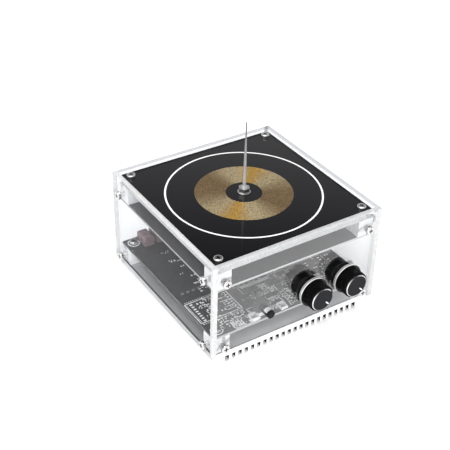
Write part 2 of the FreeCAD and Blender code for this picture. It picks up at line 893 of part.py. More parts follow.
nut_pocket = rod(nut_pocket_d, V(0, 0, plate_bottom), V(0, 0, plate_top))
post_pass = rod(post_hole_d, V(secondary_post_x, secondary_post_y, primary_bottom),
                V(secondary_post_x, secondary_post_y, plate_top))
stud_hole = rod(stud_hole_d, V(0, 0, plate_top), V(0, 0, coil_top))
top_plate = clipped_plate(plate_corner_cut, plate_bottom, plate_top)
save("top_plate", cut_all(top_plate, corner_holes(plate_bottom, plate_top) + [nut_pocket, post_pass]))
coil_board = clipped_plate(board_corner_cut, plate_top, coil_top)
save("coil_board", cut_all(coil_board, corner_holes(plate_top, coil_top) + [stud_hole]))
save("secondary_winding", annulus(secondary_outer_r, secondary_inner_r, coil_top, coil_top + copper_t))
save("primary_board", corner_board(primary_bottom, primary_top).cut(post_pass))
save("primary_winding", primary_winding())

lead_holes = [rod(lead_hole_d, V(lx, lead_foot_y(), main_bottom), V(lx, lead_foot_y(), main_top))
              for sx in SIDES for lx in lead_places(sx * transistor_x)]
save("main_board", cut_all(corner_board(main_bottom, main_top), lead_holes))

save("primary_posts",
     *[rod(post_d, p + V(0, 0, main_top), p + V(0, 0, primary_bottom)) for p in post_places()])
save("secondary_post", rod(secondary_post_d, V(secondary_post_x, secondary_post_y, main_top),
                           V(secondary_post_x, secondary_post_y, plate_top)))

panel_screw = pan_screw(panel_screw_length)
panel_screws = []
for sx, sy in CORNERS:
    for z in panel_screw_levels:
        panel_screws.append(placed(panel_screw, V(sx * case_width / 2, sy * corner_y, z), V(sx, 0, 0)))
        panel_screws.append(placed(panel_screw, V(sx * corner_x, sy * case_depth / 2, z), V(0, sy, 0)))
save("panel_screws", *panel_screws)
coil_screw = pan_screw(coil_screw_length)
save("coil_board_screws", *[placed(coil_screw, place, UP) for place in corner_places(coil_top)])
board_screw = pan_screw(board_screw_length)
save("main_board_screws", *[placed(board_screw, place, UP) for place in corner_places(main_top)])
save("primary_board_screws",
     *[placed(board_screw, place, DOWN) for place in corner_places(primary_bottom)])
base_screw = pan_screw(base_screw_length)
base_places = [V(sx * base_screw_x, sy * corner_y, base_recess_depth) for sx, sy in CORNERS]
save("base_screws", *[placed(base_screw, place, DOWN) for place in base_places])

save("needle_electrode", needle())
save("electrode_nuts", stud_nut(plate_top - nut_h), stud_nut(coil_top + washer_t))
save("electrode_washer", tube(washer_d, stud_hole_d, V(0, 0, coil_top), V(0, 0, coil_top + washer_t)))

save("pot_bushings", *[pot_bushing(x) for x in knob_xs])
save("pot_cases", *[pot_case(x) for x in knob_xs])
save("pot_terminals", *[leg for x in knob_xs for leg in pot_terminals(x)])
save("pot_nuts", *[pot_nut(x) for x in knob_xs])
save("pot_washers", *[pot_washer(x) for x in knob_xs])
for side, x in (("left", left_knob_x), ("right", right_knob_x)):
    save(side + "_pot_shaft", pot_shaft(x))
    save(side + "_knob", knob_body(x))
    save(side + "_knob_ring", knob_ring(x))
    save(side + "_knob_cap", knob_cap(x))

save("switch_housing", switch_housing())
save("switch_button", switch_button())
save("switch_spring", switch_spring())

inlet_body, inlet_pin = inlet_parts()
save("power_inlet", inlet_body)
save("power_inlet_pin", inlet_pin)
save("audio_jack", audio_jack())

transistor_xs = (-transistor_x, transistor_x)
save("transistor_pads", *[transistor_pad(x) for x in transistor_xs])
save("power_transistors", *[transistor(x) for x in transistor_xs])
transistor_screw = pan_screw(transistor_pad_t + transistor_t + sink_base_t - tap_runout)
transistor_top = transistor_floor() + transistor_t
save("transistor_screws",
     *[placed(transistor_screw, V(x, transistor_hole_y(), transistor_top), UP) for x in transistor_xs])
save("film_capacitors", *[film_capacitor(k) for k in range(film_count)])
save("electrolytic_capacitors", *[electrolytic_capacitor(k) for k in range(electrolytic_count)])
save("toroid_core", toroid_core())
save("toroid_winding", *toroid_winding())
module_board, module_can, module_pins = audio_module()
save("module_board", module_board)
save("module_shield", module_can)
save("module_pins", *module_pins)
save("driver_chips", *[driver_chip(x) for x in chip_xs])
save("surface_mount_parts", *small_parts())
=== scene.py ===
import math
import random

import bpy
from mathutils import Matrix, Vector


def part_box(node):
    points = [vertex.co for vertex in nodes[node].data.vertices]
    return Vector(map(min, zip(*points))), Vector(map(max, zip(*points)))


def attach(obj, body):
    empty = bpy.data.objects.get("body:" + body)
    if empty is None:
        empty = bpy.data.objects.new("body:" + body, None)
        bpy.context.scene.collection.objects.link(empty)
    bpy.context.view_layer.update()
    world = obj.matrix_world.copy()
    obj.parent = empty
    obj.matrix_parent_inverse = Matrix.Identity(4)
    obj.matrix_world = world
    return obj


MM = 0.001

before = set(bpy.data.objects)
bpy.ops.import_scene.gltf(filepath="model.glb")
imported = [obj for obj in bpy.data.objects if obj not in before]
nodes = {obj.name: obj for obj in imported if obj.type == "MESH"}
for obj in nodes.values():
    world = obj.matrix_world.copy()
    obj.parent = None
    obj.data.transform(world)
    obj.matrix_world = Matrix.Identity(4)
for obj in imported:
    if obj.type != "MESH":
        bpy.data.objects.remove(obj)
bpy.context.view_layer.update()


# ---- small helpers ------------------------------------------------------------------
def rgb(red, green, blue):
    return (red, green, blue, 1.0)


def grey(tone):
    return rgb(tone, tone, tone)


def scaled(colour, factor):
    """The colour made darker or brighter, as far as full brightness."""
    return rgb(*[min(1.0, c * factor) for c in colour[:3]])


def axis_of(box):
    """Place of the line along Y through a box's middle, as x and z."""
    low, high = box
    return (low.x + high.x) / 2, (low.z + high.z) / 2


# ---- levels and places, from the frame ----------------------------------------------
case_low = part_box("left_panel")[0]
panel_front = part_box("front_panel")[0].y
coil_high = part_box("coil_board")[1]
main_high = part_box("main_board")[1]
sink_low, sink_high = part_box("heat_sink")
needle_low, needle_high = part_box("needle_electrode")
housing_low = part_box("switch_housing")[0]
button_axis = axis_of(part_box("switch_button"))
cap_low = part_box("left_knob_cap")[0]
knob_boxes = [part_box("left_knob_ring"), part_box("right_knob_ring")]
knob_axes = [axis_of(box) for box in knob_boxes]

# ---- camera: viewing angle and place of the photograph ------------------------------
CAMERA_AZIMUTH = math.radians(-33.52)
CAMERA_ELEVATION = math.radians(34.53)
CAMERA_ROLL = math.radians(1.50)
CAMERA_PLACE = Vector((-308.4, -443.7, 421.7)) * MM
CAMERA_LENS = 76.70
CAMERA_SENSOR = 36.0
CAMERA_CLIP = (0.05, 50.0)

# ---- finishes -----------------------------------------------------------------------
# A surface faces an axis when that part of its normal is over this share.
FACING = 0.5

# printed ring, the turns of the gold coil, and the painted highlight and shade wedges on the coil
RING_RADIUS = 52.65 * MM
RING_WIDTH = 1.2 * MM
TRACK_PITCH = 0.5 * MM
HIGHLIGHT_WEDGE_ANGLE = math.radians(43.0)
HIGHLIGHT_WEDGE_WOBBLE = 0.12

# needle: share of its length that stays bright
NEEDLE_BRIGHT_SHARE = 0.35

# clear sheets; frost is the share of frosting on level and on upright edges
SHEET_IOR = 1.49
SHEET_TINT = rgb(0.97, 0.975, 0.98)
FROST = (0.12, 0.75)
RIGHT_FROST = (0.12, 0.85)
PLATE_FROST = (0.95, 0.95)
MILKY = (0.80, 0.85)
BLOCK_PAINTED_LIGHT = 0.9                       # share of a corner block drawn opaque white, painted light for the clear block; the rest is see-through
EDGE_TINT = rgb(0.60, 0.61, 0.63)
LIP_SHADE_TINT = rgb(0.88, 0.88, 0.89)       # painted shade: greyer see-through tint where a sheet stands above the coil board
LOW_EDGE_TINT = grey(0.97)             # lower edge of the front and rear panels
LOW_EDGE_HEIGHT = 0.1 * MM
HOLE_TINT = grey(0.95)                 # wall of the button's hole
HOLE_REACH = 3.5 * MM
HOLE_CLEAR_HEIGHT = 1.4 * MM
FRONT_VEIL = 1.7                       # strength of reflections, 1 is plain sheet
LEFT_VEIL = 0.22
LEFT_RIM = 2.2 * MM                    # depth of the left panel's milky front end
QUIET_SHIFT = (-5.0 * MM, 6.0 * MM)    # places with fewer reflections, from the knobs' axes
QUIET_RADIUS = 9.5 * MM
QUIET_FADE = 2.0 * MM
QUIET_SHARE = 0.15                     # of the reflections left there

# knobs and potentiometers
POT_PLATE_RADIUS = 10.6 * MM
POT_PLATE_SHIFT = -3.0 * MM
RING_BRIGHT_RADIUS = 10.66 * MM
RING_GROOVE_SHADE = (0.5, 0.8)               # black band of painted shade round the ring: from and to, as shares of the ring's depth
POINTER_SUNK = 0.1 * MM
SLEEVE_RADIUS = 9.3 * MM
SLEEVE_FACE_RADIUS = 8.45 * MM
SLEEVE_BORE_RADIUS = 7.4 * MM
SLEEVE_CHAMFER = 0.6 * MM
SLEEVE_GROOVES = 40
SLEEVE_GROOVE = 0.2 * MM

# switch housing: its pale foot
HOUSING_FOOT_DEPTH = 1.6 * MM
HOUSING_FOOT_HEIGHT = 3.0 * MM
HOUSING_FOOT_LENGTH = 5.0 * MM

# heat sink, with painted shade between the fins and on its top, and painted light on its front
# and back faces
SINK_FIN_SHADE_TOP = 4.02 * MM
SINK_RAIL = 0.5 * MM                   # the outermost faces stay out of the painted shade between the fins
SINK_SIDE_SHADE = 0.45                 # painted shade: tone of the top at its left edge, before the fade
SINK_SIDE_FADE = 34.0 * MM
SINK_DEEP_SHADE = 0.58                 # painted shade: share of the tone that the top loses behind the front
SINK_DEEP_Y = (-60.0 * MM, -46.0 * MM)
SINK_DEEP_X = (10.0 * MM, 30.0 * MM)   # from the left edge
# painted light: front and back faces made brighter by this factor
SINK_FRONT_PAINTED_LIGHT = 1.1

# material, colour, roughness, metallic, other settings, and the nodes that wear it
PLAIN_FINISHES = (
    # nickel steel: painted shade in its recesses, 1.5 mm deep
    ("nickel_steel", rgb(0.84, 0.83, 0.83), 0.16, 1.0, {"spread": 0.06, "shade_reach": 1.5 * MM},
     ("panel_screws", "coil_board_screws", "base_screws", "main_board_screws",
      "primary_board_screws", "transistor_screws", "electrode_nuts", "electrode_washer",
      "pot_nuts", "pot_washers", "power_inlet_pin")),
    ("tinned_metal", rgb(0.75, 0.75, 0.74), 0.3, 1.0, {},
     ("module_shield", "module_pins", "pot_terminals")),
    ("zinc_plate", grey(0.66), 0.35, 1.0, {}, ("left_pot_shaft", "right_pot_shaft")),
    ("spring_steel", grey(0.6), 0.3, 1.0, {}, ("switch_spring",)),
    ("black_plastic", rgb(0.025, 0.025, 0.027), 0.4, 0.0, {}, ("power_inlet", "audio_jack")),
    ("deep_black", rgb(0.005, 0.005, 0.0055), 0.45, 0.0, {"gloss": 0.2},
     ("pot_cases", "switch_button")),
    ("turned_brass", rgb(0.72, 0.58, 0.3), 0.25, 1.0, {}, ("primary_posts", "secondary_post")),
    ("copper_track", rgb(0.72, 0.42, 0.26), 0.3, 1.0, {}, ("primary_winding",)),
    ("grey_pad", rgb(0.6, 0.6, 0.58), 0.7, 0.0, {}, ("transistor_pads",)),
    ("chip_epoxy", grey(0.03), 0.5, 0.0, {}, ("power_transistors", "driver_chips")),
    ("film_red", rgb(0.215, 0.16, 0.175), 0.3, 0.0, {}, ("film_capacitors",)),
    ("can_sleeve", rgb(0.05, 0.06, 0.09), 0.3, 0.0, {}, ("electrolytic_capacitors",)),
    ("ferrite", grey(0.08), 0.6, 0.0, {}, ("toroid_core",)),
    ("enamel_wire", rgb(0.70, 0.36, 0.16), 0.25, 1.0, {}, ("toroid_winding",)),
    ("ceramic_pale", rgb(0.22, 0.215, 0.21), 0.5, 0.0, {}, ("surface_mount_parts",)),
)

# ---- marks and small parts on the main board, in millimetres ------------------------
BOARD_TOP = main_high.z / MM
SILK_HEIGHT = 0.03
PAD_HEIGHT = 0.06
DASH_PITCH = 1.4
DASH_LENGTH = 0.8
SCREW_HEAD_RADIUS = 3.0
SCREW_PAD_RADIUS = 4.4
SCREW_PAD_WIDTH = 0.7
SCREW_PAD_BEVEL = 0.05
SCREW_PAD_SIDES = 32
CHIP_SIZE = (1.4, 1.1, 0.5)            # along x, along y, height
CHIP_END = (0.3, 0.52)                 # length and height of the pale ends
DICE_SEED = 7

SILK_MARKS = (
    # kind, low x, high x, low y, high y, width of the line
    ("frame", -60.4, -29.0, -45.0, -23.5, 0.6),
    ("dashes", -59.4, -29.4, -46.6, -22.1, 0.5),
    ("bar", -38.5, -31.5, -42.0, -41.4, 0.0),
    ("bar", -38.5, -31.5, -39.0, -38.4, 0.0),
    ("bar", -38.5, -31.5, -33.0, -32.4, 0.0),
    ("bar", -38.5, -31.5, -29.5, -28.9, 0.0),
    ("dashes", -20.5, 5.0, -33.5, -26.0, 0.6),
    ("frame", -28.0, -15.0, -57.0, -48.0, 0.5),
    ("dashes", 8.0, 18.5, -36.0, -22.0, 0.45),
    ("frame", -12.0, -2.0, -56.0, -46.0, 0.45),
    ("bar", 1.0, 1.45, -53.0, -43.0, 0.0),
    ("bar", 4.0, 4.45, -53.0, -43.0, 0.0),
    ("bar", 7.0, 7.45, -53.0, -43.0, 0.0),
    ("bar", -44.0, -26.0, -61.1, -60.3, 0.0),
    ("dashes", 20.0, 50.0, -46.0, -24.0, 0.5),
)
PAD_ROWS = (
    # pads in a row, step in x, step in y, and each row's first pad: low x, high x, low y, high y
    (14, 1.65, 0.0, ((-18.5, -17.45, -33.2, -30.4), (-18.5, -17.45, -28.6, -26.0))),
    (9, 1.1, 0.0, ((-11.0, -10.35, -49.5, -46.4), (-11.0, -10.35, -55.5, -53.0))),
    (8, 0.0, 2.54, ((-57.5, -55.5, -44.0, -42.7), (-32.0, -30.4, -44.0, -42.7))),
    (3, 3.2, 0.0, ((-32.5, -30.6, -60.2, -57.6),)),
)
LONE_PADS = ((-19.0, -35.0), (-16.2, -36.4), (-18.4, -38.0), (-15.4, -39.4), (-17.6, -41.0))
LONE_PAD_SIZE = (2.0, 1.3)
PAIR_SIZES = (
    # length and width of a pad, and the step to the other one
    (1.3, 1.0, 1.9),
    (1.7, 1.2, 2.5),
    (1.1, 0.9, 1.6),
)
PAD_FIELDS = (
    # low x, high x, low y, high y, pairs
    (-54.0, -31.0, -42.0, -25.0, 26),
    (-18.0, -10.0, -43.0, -34.5, 12),
    (-9.0, 2.0, -42.0, -34.5, 24),
    (-53.0, -26.0, -57.0, -47.0, 30),
    (-44.0, -34.0, -60.4, -56.0, 12),
    (-14.0, 8.0, -60.0, -46.0, 22),
    (6.0, 18.0, -60.0, -20.0, 26),
    (20.0, 54.0, -58.0, -22.0, 34),
    (-46.0, -38.0, -18.0, 34.0, 10),
)
CONNECTORS = (
    # low x, high x, low y, high y, wall
    (-8.6, -3.4, -60.6, -54.4, 0.8),
    (-31.0, -25.6, -60.2, -54.3, 0.7),
)
CONNECTOR_HEIGHT = 2.0
PIN_WIDTH = 0.6
PIN_PLACES = ((-6.3, -58.8), (-6.3, -56.8), (-28.6, -58.8), (-28.6, -56.8))
BARS = 5                               # tinned bars left of the button, each one shorter
BAR_FIRST = (-44.6, -59.6, -53.6)      # x, low y, high y
BAR_STEP = 1.8
BAR_SHORTER = 0.4
BAR_HEIGHT = 1.2

# ---- floor and light ----------------------------------------------------------------
FLOOR_SIZE = 20.0
FLOOR_DROP = 0.05 * MM
FLOOR_TONE = 0.75
FLOOR_SEEN_TONE = 0.98
AMBIENT = 1.0
SKY_MIDDLE = 0.03
SKY_BANDS = (
    # from and to, as the upward part of the direction, and brightness added at each
    (0.02, 0.28, 0.6, 0.0),
    (0.48, 0.61, 0.55, 0.0),
    (0.70, 0.90, 0.0, 1.7),
)
CARD_SIDE = (-0.90, -0.30, 0.32)       # towards a bright card that only reflections show
CARD_EDGE = (0.75, 0.92)
CARD_STRENGTH = 0.6
LIGHTS = (
    # name, place, size, power, shown in mirror reflections
    ("key", (-0.5, -0.3, 1.3), 0.7, 9.0, True),
    ("fill", (-0.3, -0.7, 0.28), 0.35, 3.5, False),
)
LIGHT_TARGET = Vector((0, 0, 0.05))


# ---- node helpers -------------------------------------------------------------------
class Nodes:
    """A node tree with short calls to add and join nodes."""

    def __init__(self, tree, output):
        self.tree = tree
        self.tree.nodes.clear()
        self.output = self.add(output)

    def add(self, kind, settings=None, **sockets):
        node = self.tree.nodes.new("ShaderNode" + kind)
        for key, value in (settings or {}).items():
            setattr(node, key, value)
        for key, value in sockets.items():
            self.feed(node.inputs[key.replace("_", " ")], value)
        return node

    def feed(self, socket, value):
        if isinstance(value, bpy.types.NodeSocket):
            self.tree.links.new(value, socket)
        elif isinstance(value, bpy.types.Node):
            self.tree.links.new(value.outputs[0], socket)
        else:
            socket.default_value = value

    def math(self, operation, a, b=0.0, clamp=False):
        node = self.add("Math", {"operation": operation, "use_clamp": clamp})
        self.feed(node.inputs[0], a)
        self.feed(node.inputs[1], b)
        return node.outputs[0]

    def times(self, first, *others):
        for other in others:
            first = self.math("MULTIPLY", first, other)
        return first

    def inverse(self, share):
        return self.math("SUBTRACT", 1.0, share)

    def over(self, value, limit):
        return self.math("GREATER_THAN", value, limit)

    def under(self, value, limit):
        return self.math("LESS_THAN", value, limit)

    def absolute(self, value):
        return self.math("ABSOLUTE", value)

    def ramp(self, factor, low, high, start=0.0, end=1.0):
        """Maps factor from start..end to low..high, clamped."""
        return self.add("MapRange", Value=factor, From_Min=start, From_Max=end,
                        To_Min=low, To_Max=high).outputs["Result"]

    def mix_shader(self, factor, a, b):
        node = self.add("MixShader")
        for socket, value in zip(node.inputs, (factor, a, b)):
            self.feed(socket, value)
        return node.outputs[0]

    def done(self, surface):
        self.feed(self.output.inputs["Surface"], surface)


class Shader(Nodes):
    """A material's node tree, with the calls that only surfaces need."""

    def __init__(self, name):
        self.material = bpy.data.materials.new(name)
        self.material.use_nodes = True
        super().__init__(self.material.node_tree, "OutputMaterial")
        self.coords = self.add("TexCoord").outputs["Object"]

    def split(self, source):
        """X, Y and Z of the surface's Position or True Normal."""
        geometry = self.add("NewGeometry")
        return self.add("SeparateXYZ", Vector=geometry.outputs[source]).outputs

    def noise(self, scale, detail=2.0):
        return self.add("TexNoise", Vector=self.coords, Scale=scale, Detail=detail).outputs["Fac"]

    def mix_colour(self, factor, a, b):
        node = self.add("Mix", {"data_type": "RGBA"})
        self.feed(node.inputs["Factor"], factor)
        colours = [s for s in node.inputs if s.type == "RGBA"]
        self.feed(colours[0], a)
        self.feed(colours[1], b)
        return [s for s in node.outputs if s.type == "RGBA"][0]

    def scale_colour(self, colour, factor):
        return self.add("VectorMath", {"operation": "SCALE"}, Vector=colour,
                        Scale=factor).outputs["Vector"]

    def bump(self, height, distance, strength):
        return self.add("Bump", Height=height, Distance=distance,
                        Strength=strength).outputs["Normal"]

    def principled(self, colour, roughness, **sockets):
        return self.add("BsdfPrincipled", Base_Color=colour, Roughness=roughness, **sockets)

    def distance_to(self, place, x, z):
        """Distance from a line along Y."""
        across = self.math("SUBTRACT", place["X"], x)
        along = self.math("SUBTRACT", place["Z"], z)
        square = self.math("ADD", self.times(across, across), self.times(along, along))
        return self.math("SQRT", square)

    def from_needle(self):
        """Distance from the upright axis through the needle, and the place itself."""
        place = self.add("SeparateXYZ", Vector=self.coords).outputs
        flat = self.add("CombineXYZ", X=place["X"], Y=place["Y"])
        length = self.add("VectorMath", {"operation": "LENGTH"}, Vector=flat)
        return length.outputs["Value"], place

    def sheet_fresnel(self):
        """Share reflected at a face of clear sheet, the same from either side of the face."""
        behind = self.add("NewGeometry").outputs["Backfacing"]
        side = self.inverse(self.times(behind, 2.0))
        return self.add("Fresnel", IOR=self.math("POWER", SHEET_IOR, side)).outputs[0]

    def shine(self, roughness):
        return self.add("BsdfGlossy", Color=grey(1.0), Roughness=roughness)

    def done(self, surface):
        super().done(surface)
        return self.material


# ---- materials ----------------------------------------------------------------------
def solid(name, colour, roughness, metallic=0.0, spread=0.12, gloss=0.5, shade_reach=0.0):
    """A finish with fine variation of tone and gloss, and painted shade darkening its corners and
    recesses as far as the last argument reaches.
    """
    s = Shader(name)
    fine = s.ramp(s.noise(400.0, 3.0), 0.0, 1.0, 0.3, 0.7)
    tone = s.mix_colour(fine, scaled(colour, 1.0 - spread), scaled(colour, 1.0 + spread))
    # painted shade: ambient occlusion darkens the corners and recesses
    if shade_reach:
        unshaded_share = s.add("AmbientOcclusion", {"samples": 8}, Distance=shade_reach).outputs["AO"]
        tone = s.mix_colour(s.ramp(unshaded_share, 0.0, 1.0, 0.34, 0.56), grey(0.01), tone)
    dullness = s.ramp(s.noise(160.0), roughness * 0.8, roughness * 1.25, 0.3, 0.7)
    return s.done(s.principled(tone, dullness, Metallic=metallic, Specular_IOR_Level=gloss))


def ringed(name, radius, brightness, roughness, groove_shade=None, shift=0.0):
    """Black round the two knob axes as far as radius, and bright metal beyond it.

    A given start and end, as shares of the silver ring's depth, bound a black band of painted
    shade round the ring.
    """
    s = Shader(name)
    place = s.split("Position")
    nearest = s.math("MINIMUM", *[s.distance_to(place, x + shift, z) for x, z in knob_axes])
    outer = s.over(nearest, radius)
    if groove_shade:
        front, rear = [corner.y for corner in knob_boxes[0]]
        back = s.ramp(place["Y"], 0.0, 1.0, front, rear)
        # painted shade: a black band round the silver ring
        groove_shaded = s.times(s.over(back, groove_shade[0]), s.under(back, groove_shade[1]))
        outer = s.times(outer, s.inverse(groove_shaded))
    bright = s.mix_colour(s.noise(900.0), grey(brightness * 0.9), grey(brightness))
    colour = s.mix_colour(outer, rgb(0.006, 0.006, 0.0065), bright)
    return s.done(s.principled(colour, roughness, Metallic=s.times(outer, 0.35),
                               Specular_IOR_Level=0.3))


def housing_finish():
    """Smoked switch body with a pale foot at its front."""
    s = Shader("housing_finish")
    place = s.split("Position")
    foot = s.times(s.under(place["Y"], housing_low.y + HOUSING_FOOT_DEPTH),
                   s.under(place["Z"], housing_low.z + HOUSING_FOOT_HEIGHT),
                   s.under(place["X"], housing_low.x + HOUSING_FOOT_LENGTH))
    tone = s.mix_colour(s.noise(700.0), rgb(0.035, 0.035, 0.037), grey(0.15))
    return s.done(s.principled(s.mix_colour(foot, tone, rgb(0.9, 0.9, 0.89)), 0.4))


def needle_finish():
    """Bright steel at the foot, darker towards the tip."""
    s = Shader("needle_finish")
    dark_from = needle_low.z + NEEDLE_BRIGHT_SHARE * (needle_high.z - needle_low.z)
    up = s.ramp(s.split("Position")["Z"], 0.0, 1.0, dark_from, needle_high.z)
    worn = s.mix_colour(s.noise(500.0), rgb(0.50, 0.50, 0.51), rgb(0.74, 0.74, 0.75))
    colour = s.mix_colour(up, worn, rgb(0.05, 0.05, 0.06))
    return s.done(s.principled(colour, 0.25, Metallic=s.ramp(up, 0.6, 0.2),
                               Specular_IOR_Level=0.3))


def clear_sheet(name, axis, tone=1.0, frost=FROST, veil=1.0, lip=False, quiet=(), rim=None,
                hole=None):
    """Clear sheet: glossy and see-through on its faces, which axis names, frosted on its edges.

    lip paints shade on what stands above the coil board as a greyer tint, quiet lists places with
    fewer reflections, rim is where the sheet's end starts, and hole is the axis of a hole with a
    clear wall.
    """
    s = Shader(name)
    normal, place = s.split("True Normal"), s.split("Position")
    is_edge = s.under(s.absolute(normal[axis]), FACING)
    is_level = s.over(s.absolute(normal["Z"]), FACING)
    if rim is not None:
        is_edge = s.math("MAXIMUM", is_edge, s.under(place["Y"], rim))
    reflected = s.math("MULTIPLY", s.sheet_fresnel(), veil, clamp=True)
    for x, z in quiet:
        near = s.distance_to(place, x, z)
        fade = s.ramp(near, QUIET_SHARE, 1.0, QUIET_RADIUS, QUIET_RADIUS + QUIET_FADE)
        reflected = s.times(reflected, fade)
    tint = SHEET_TINT
    # painted shade: a greyer see-through tint above the coil board
    if lip:
        tint = s.mix_colour(s.over(place["Z"], coil_high.z), tint, LIP_SHADE_TINT)
    face = s.mix_shader(reflected, s.add("BsdfTransparent", Color=tint), s.shine(0.02))

    frosted = s.times(s.ramp(s.noise(700.0, 3.0), 0.8, 1.0, 0.35, 0.65),
                      s.ramp(is_level, frost[1], frost[0]))
    sawn_tone = s.mix_colour(s.noise(500.0, 3.0), grey(0.76 * tone), grey(tone))
    glow_tint = EDGE_TINT
    if hole:
        near = s.under(s.distance_to(place, *hole), HOLE_REACH)
        below = s.under(place["Z"], hole[1] + HOLE_CLEAR_HEIGHT)
        frosted = s.times(frosted, s.inverse(s.times(near, below)))
        sawn_tone = s.mix_colour(near, sawn_tone, grey(1.0))
        glow_tint = s.mix_colour(near, glow_tint, HOLE_TINT)
    if axis == "Y":
        low = s.under(place["Z"], case_low.z + LOW_EDGE_HEIGHT)
        frosted = s.times(frosted, s.inverse(low))
        glow_tint = s.mix_colour(low, glow_tint, LOW_EDGE_TINT)
    glow = s.add("BsdfTransparent", Color=glow_tint)
    edge = s.mix_shader(frosted, glow, s.principled(sawn_tone, 0.2))
    return s.done(s.mix_shader(is_edge, face, edge))


def clear_block(name):
    """Thick clear block, drawn mostly opaque white: painted light for the brightness inside it.
    """
    s = Shader(name)
    white_mottle = s.ramp(s.noise(260.0), 0.0, 1.0, 0.4, 0.6)
    # painted light: an opaque white body stands in for the light seen inside the clear block
    body = s.principled(s.mix_colour(white_mottle, rgb(0.90, 0.905, 0.92), grey(1.0)), 0.3)
    inner = s.mix_shader(BLOCK_PAINTED_LIGHT, s.add("BsdfTransparent", Color=SHEET_TINT), body)
    return s.done(s.mix_shader(s.sheet_fresnel(), inner, s.shine(0.05)))


def coil_board_finish():
    """Gloss black mask with the printed white ring, and pale cut edges."""
    s = Shader("coil_board_finish")
    radius, place = s.from_needle()
    off_ring = s.absolute(s.math("SUBTRACT", radius, RING_RADIUS))
    ring = s.times(s.under(off_ring, RING_WIDTH / 2), s.over(place["Z"], coil_high.z - 0.05 * MM))
    weave = s.noise(900.0)
    mask = s.mix_colour(weave, rgb(0.0030, 0.0030, 0.0042), rgb(0.0055, 0.0055, 0.0072))
    colour = s.mix_colour(ring, mask, grey(0.9))
    is_side = s.under(s.absolute(s.split("True Normal")["Z"]), FACING)
    colour = s.mix_colour(is_side, colour, rgb(0.70, 0.70, 0.71))
    roughness = s.ramp(s.noise(60.0), 0.06, 0.11, 0.3, 0.7)
    return s.done(s.principled(colour, roughness, Normal=s.bump(weave, 0.004 * MM, 0.3)))


def gold_track_finish():
    """Very fine gold turns on black, with painted highlight and shade: pale and brown wedges set
    by the angle round the coil.
    """
    s = Shader("gold_track_finish")
    radius, place = s.from_needle()
    angle = s.math("ARCTAN2", place["Y"], place["X"])
    turn = s.math("DIVIDE", angle, 2 * math.pi)
    phase = s.math("FRACT", s.math("ADD", s.math("DIVIDE", radius, TRACK_PITCH), turn))
    track = s.ramp(s.absolute(s.math("SUBTRACT", phase, 0.5)), 0.0, 1.0, 0.1, 0.35)
    # painted highlight and shade: orange along a line at the wedge angle, pale beside it, brown
    # across it
    off_axis = s.absolute(s.math("SINE", s.math("SUBTRACT", angle, HIGHLIGHT_WEDGE_ANGLE)))
    wobble = s.times(s.math("SUBTRACT", s.noise(40.0), 0.5), HIGHLIGHT_WEDGE_WOBBLE)
    off_axis = s.math("ADD", off_axis, wobble)
    painted_highlight_share = s.ramp(off_axis, 0.0, 1.0, 0.08, 0.42)
    painted_shade_share = s.ramp(off_axis, 0.0, 1.0, 0.62, 0.95)
    colour = s.mix_colour(painted_highlight_share, rgb(0.335, 0.190, 0.030), rgb(0.35, 0.275, 0.155))
    colour = s.mix_colour(painted_shade_share, colour, rgb(0.165, 0.105, 0.045))
    fleck = s.ramp(s.noise(1500.0, 3.0), 0.4, 1.6, 0.34, 0.66)
    colour = s.scale_colour(colour, s.times(fleck, s.ramp(track, 0.75, 1.0)))
    tangent = s.add("Tangent", {"direction_type": "RADIAL", "axis": "Z"})
    return s.done(s.principled(colour, 0.33, Metallic=0.35, Anisotropic=0.9,
                               Anisotropic_Rotation=0.25, Tangent=tangent))


def laminate(name, face, edge, side_shade_share=0.54):
    """Circuit board: solder mask on both faces, pale cut edges, and painted shade on the cut
    edges that face left and right.
    """
    s = Shader(name)
    normal = s.split("True Normal")
    is_face = s.over(s.absolute(normal["Z"]), FACING)
    is_side = s.over(s.absolute(normal["X"]), FACING)
    mask = s.mix_colour(s.noise(420.0), scaled(face, 0.92), face)
    # painted shade: the cut edges that face left and right are darker
    cut = s.mix_colour(is_side, edge, scaled(edge, side_shade_share))
    return s.done(s.principled(s.mix_colour(is_face, cut, mask), 0.28))


def knob_cap_finish():
    """Dark satin disc with fine turning marks, a bright bevel and a white pointer."""
    s = Shader("knob_cap_finish")
    is_flat = s.over(s.absolute(s.split("True Normal")["Y"]), 0.9)
    sunk = s.over(s.split("Position")["Y"], cap_low.y + POINTER_SUNK)
    dark = s.mix_colour(s.noise(900.0, 3.0), rgb(0.006, 0.0058, 0.008), rgb(0.013, 0.0125, 0.016))
    base = s.mix_colour(is_flat, rgb(0.88, 0.88, 0.89), dark)
    colour = s.mix_colour(s.times(sunk, is_flat), base, grey(0.95))
    return s.done(s.principled(colour, s.ramp(is_flat, 0.15, 0.42), Metallic=s.inverse(is_flat),
                               Specular_IOR_Level=0.12))


